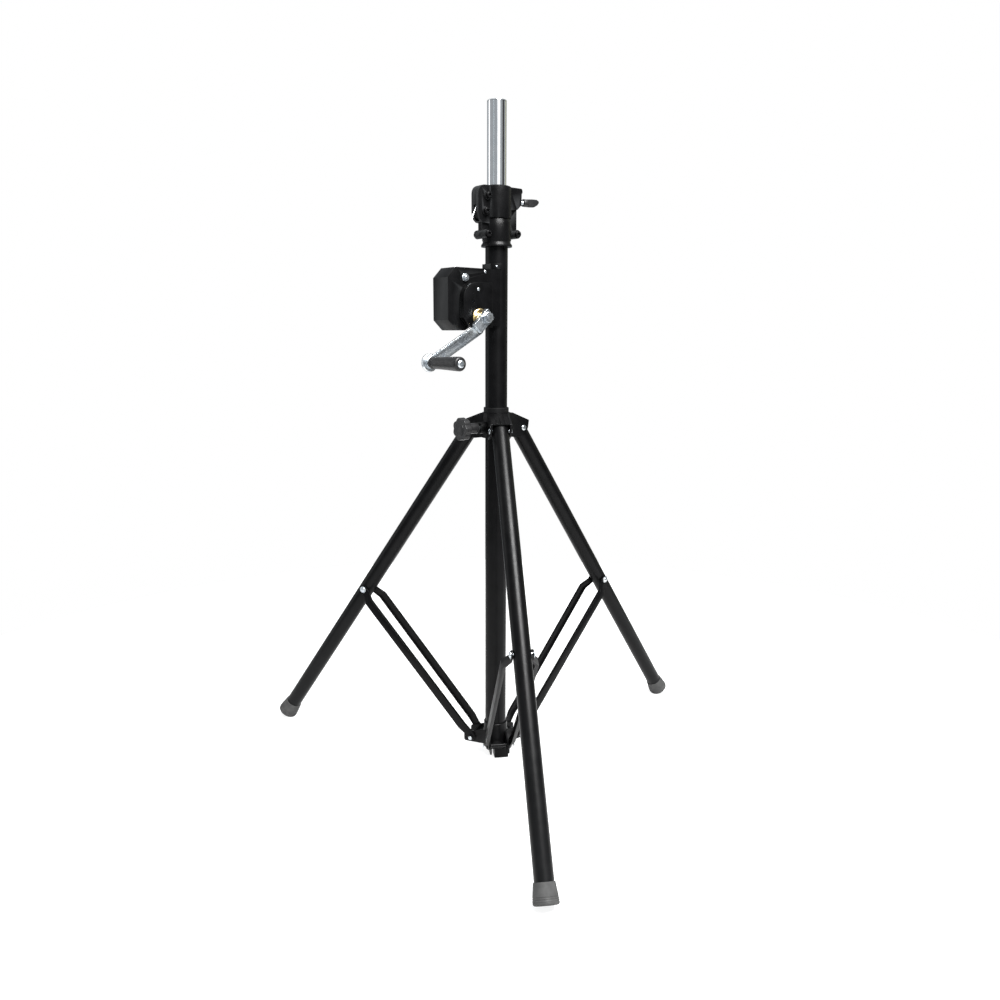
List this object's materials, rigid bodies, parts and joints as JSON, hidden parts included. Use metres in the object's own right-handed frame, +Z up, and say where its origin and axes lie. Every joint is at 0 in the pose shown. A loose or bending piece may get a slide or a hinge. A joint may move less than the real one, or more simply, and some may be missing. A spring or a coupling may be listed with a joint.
{
  "type": "crank lighting stand",
  "caption": "Black lighting stand on a braced folding tripod, with a telescoping mast that a cable winch raises by a hand crank.",
  "frame": {"origin": "on the mast's axis at floor level, on the underside of the square foot under the mast", "axes": "+Z up along the mast; -Y along the front leg; the other legs are at 120 degrees; the winch hangs on the side at 210 degrees from +X and its crank faces the side between the winch and the front leg"},
  "size_m": [0.9776, 0.8525, 1.357],
  "materials": {
    "black_paint": "satin black paint",
    "cast_black": "satin black paint over a casting",
    "chrome": "bright plated",
    "zinc": "zinc-plated steel",
    "brass": "machined",
    "rubber": "matt",
    "black_plastic": "moulded",
    "nylon": "moulded",
    "wire_rope": "galvanised wire rope"
  },
  "bodies": {
    "mast": {"outer_tube": "black_paint", "mast_foot": "black_paint", "lower_hub": "cast_black", "hub_pin_1": "zinc", "hub_pin_2": "zinc", "hub_pin_3": "zinc", "head_front": "cast_black", "head_back": "cast_black", "head_bolt_top": "zinc", "pulley_axle": "zinc", "clamp_bolt_winch_side": "zinc", "clamp_bolt_lock_side": "zinc", "guide_bush": "nylon", "winch_frame": "black_paint", "winch_cover": "black_paint", "gear_cover": "black_paint", "winch_bolt": "zinc", "shaft_bush": "brass", "drum_axle": "zinc", "cable_outer": "wire_rope", "cable_inner": "wire_rope"},
    "inner_mast": {"inner_tube": "chrome", "tube_piston": "nylon", "top_plug": "chrome"},
    "drum": {"cable_drum": "zinc", "drum_gear": "zinc", "cable_on_drum": "wire_rope"},
    "crank": {"crank_shaft": "zinc", "crank_yoke": "zinc", "crank_arm": "zinc", "crank_nut": "zinc", "grip_pin": "zinc"},
    "grip": {"crank_grip": "black_plastic"},
    "pulley": {"pulley": "nylon"},
    "lock": {"lock_screw": "zinc", "lock_handle": "black_plastic"},
    "collar": {"leg_collar": "cast_black", "collar_neck": "nylon", "leg_pin_1": "zinc", "leg_pin_2": "zinc", "leg_pin_3": "zinc"},
    "knob": {"collar_knob": "black_plastic"},
    "leg_1": {"leg_tube_1": "black_paint", "foot_cap_1": "rubber", "brace_bolt_1": "zinc"},
    "leg_2": {"leg_tube_2": "black_paint", "foot_cap_2": "rubber", "brace_bolt_2": "zinc"},
    "leg_3": {"leg_tube_3": "black_paint", "foot_cap_3": "rubber", "brace_bolt_3": "zinc"},
    "braces_1": {"brace_1_left": "black_paint", "brace_1_right": "black_paint"},
    "braces_2": {"brace_2_left": "black_paint", "brace_2_right": "black_paint"},
    "braces_3": {"brace_3_left": "black_paint", "brace_3_right": "black_paint"}
  },
  "joints": [
    {"name": "mast_lift", "type": "slide", "parent": "mast", "child": "inner_mast", "axis": [0, 0, 1], "range_m": [0, 0.7], "deforming": ["cable_inner"]},
    {"name": "drum_spin", "type": "hinge", "parent": "mast", "child": "drum", "pos_m": [-0.06911, -0.0399, 0.981], "axis": [0.5, -0.866, 0], "range_deg": [0, 902]},
    {"name": "crank_spin", "type": "hinge", "parent": "mast", "child": "crank", "pos_m": [-0.04029, -0.07522, 0.945], "axis": [0.5, -0.866, 0], "range_deg": [-2525, 0]},
    {"name": "pulley_spin", "type": "hinge", "parent": "mast", "child": "pulley", "pos_m": [-0.03178, -0.01835, 1.149], "axis": [0.5, -0.866, 0], "range_deg": [0, 2435]},
    {"name": "grip_spin", "type": "hinge", "parent": "crank", "child": "grip", "pos_m": [-0.11994, -0.18125, 0.8612], "axis": [0.5, -0.866, 0], "continuous": true},
    {"name": "lock_turn", "type": "hinge", "parent": "mast", "child": "lock", "pos_m": [0.05196, 0.03, 1.1745], "axis": [0.866, 0.5, 0], "range_deg": [-90, 90]},
    {"name": "collar_slide", "type": "slide", "parent": "mast", "child": "collar", "axis": [0, 0, 1], "range_m": [0, 0.15]},
    {"name": "knob_turn", "type": "hinge", "parent": "collar", "child": "knob", "pos_m": [-0.05196, -0.03, 0.727], "axis": [-0.866, -0.5, 0], "range_deg": [-180, 180]},
    {"name": "leg_fold_1", "type": "hinge", "parent": "collar", "child": "leg_1", "pos_m": [0, -0.0563, 0.7231], "axis": [1, 0, 0], "range_deg": [0, 21.5]},
    {"name": "leg_fold_2", "type": "hinge", "parent": "collar", "child": "leg_2", "pos_m": [0.04876, 0.02815, 0.7231], "axis": [-0.5, 0.866, 0], "range_deg": [0, 21.5]},
    {"name": "leg_fold_3", "type": "hinge", "parent": "collar", "child": "leg_3", "pos_m": [-0.04876, 0.02815, 0.7231], "axis": [-0.5, -0.866, 0], "range_deg": [0, 21.5]},
    {"name": "brace_fold_1", "type": "hinge", "parent": "leg_1", "child": "braces_1", "pos_m": [0, -0.31228, 0.34911], "axis": [1, 0, 0], "range_deg": [-46.5, 0]},
    {"name": "brace_fold_2", "type": "hinge", "parent": "leg_2", "child": "braces_2", "pos_m": [0.27044, 0.15614, 0.34911], "axis": [-0.5, 0.866, 0], "range_deg": [-46.5, 0]},
    {"name": "brace_fold_3", "type": "hinge", "parent": "leg_3", "child": "braces_3", "pos_m": [-0.27044, 0.15614, 0.34911], "axis": [-0.5, -0.866, 0], "range_deg": [-46.5, 0]}
  ],
  "couplings": [
    {"joint": "drum_spin", "follows": "mast_lift", "rad_per_m": 22.442},
    {"joint": "crank_spin", "follows": "mast_lift", "rad_per_m": -62.837},
    {"joint": "pulley_spin", "follows": "mast_lift", "rad_per_m": 60.606},
    {"joint": "leg_fold_1", "follows": "collar_slide", "rad_per_m": 2.4606},
    {"joint": "leg_fold_2", "follows": "collar_slide", "rad_per_m": 2.4606},
    {"joint": "leg_fold_3", "follows": "collar_slide", "rad_per_m": 2.4606},
    {"joint": "brace_fold_1", "follows": "collar_slide", "rad_per_m": -5.3342},
    {"joint": "brace_fold_2", "follows": "collar_slide", "rad_per_m": -5.3342},
    {"joint": "brace_fold_3", "follows": "collar_slide", "rad_per_m": -5.3342}
  ]
}
